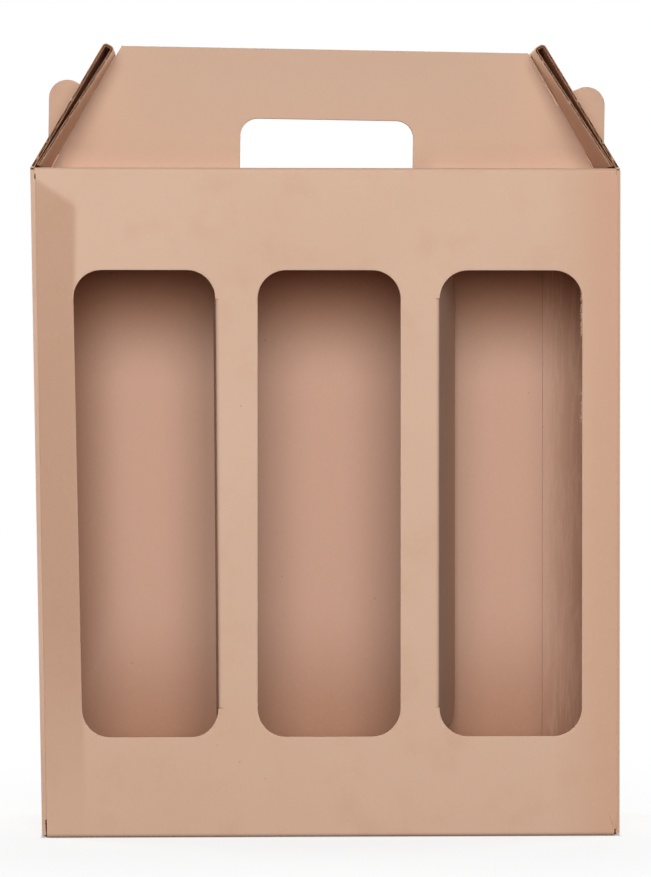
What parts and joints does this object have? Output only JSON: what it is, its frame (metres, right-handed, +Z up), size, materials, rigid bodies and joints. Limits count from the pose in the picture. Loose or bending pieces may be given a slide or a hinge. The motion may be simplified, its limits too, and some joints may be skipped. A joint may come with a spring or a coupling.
{
  "type": "three-bottle window box",
  "caption": "Folded corrugated board bottle carrier with windowed front, folded-in dividers, snap-lock base and a raised handle whose ears lock through doubled side flaps.",
  "frame": {"origin": "middle of the base, on the surface that the box stands on", "axes": "+X along the front to the right, +Y from the windowed front to the back, +Z up"},
  "size_m": [0.2682, 0.088, 0.363],
  "materials": {
    "kraft_board": "matt brown kraft liner with faint flute lines"
  },
  "bodies": {
    "box": {"front_sheet": "kraft_board", "back_sheet": "kraft_board"},
    "left_flap": {"left_side_flap": "kraft_board"},
    "right_flap": {"right_side_flap": "kraft_board"}
  },
  "joints": [
    {"name": "left_flap_hinge", "type": "hinge", "parent": "box", "child": "left_flap", "pos_m": [-0.1341, 0, 0.304], "axis": [0, -1, 0], "range_deg": [0, 200]},
    {"name": "right_flap_hinge", "type": "hinge", "parent": "box", "child": "right_flap", "pos_m": [0.1341, 0, 0.304], "axis": [0, 1, 0], "range_deg": [0, 200]}
  ]
}
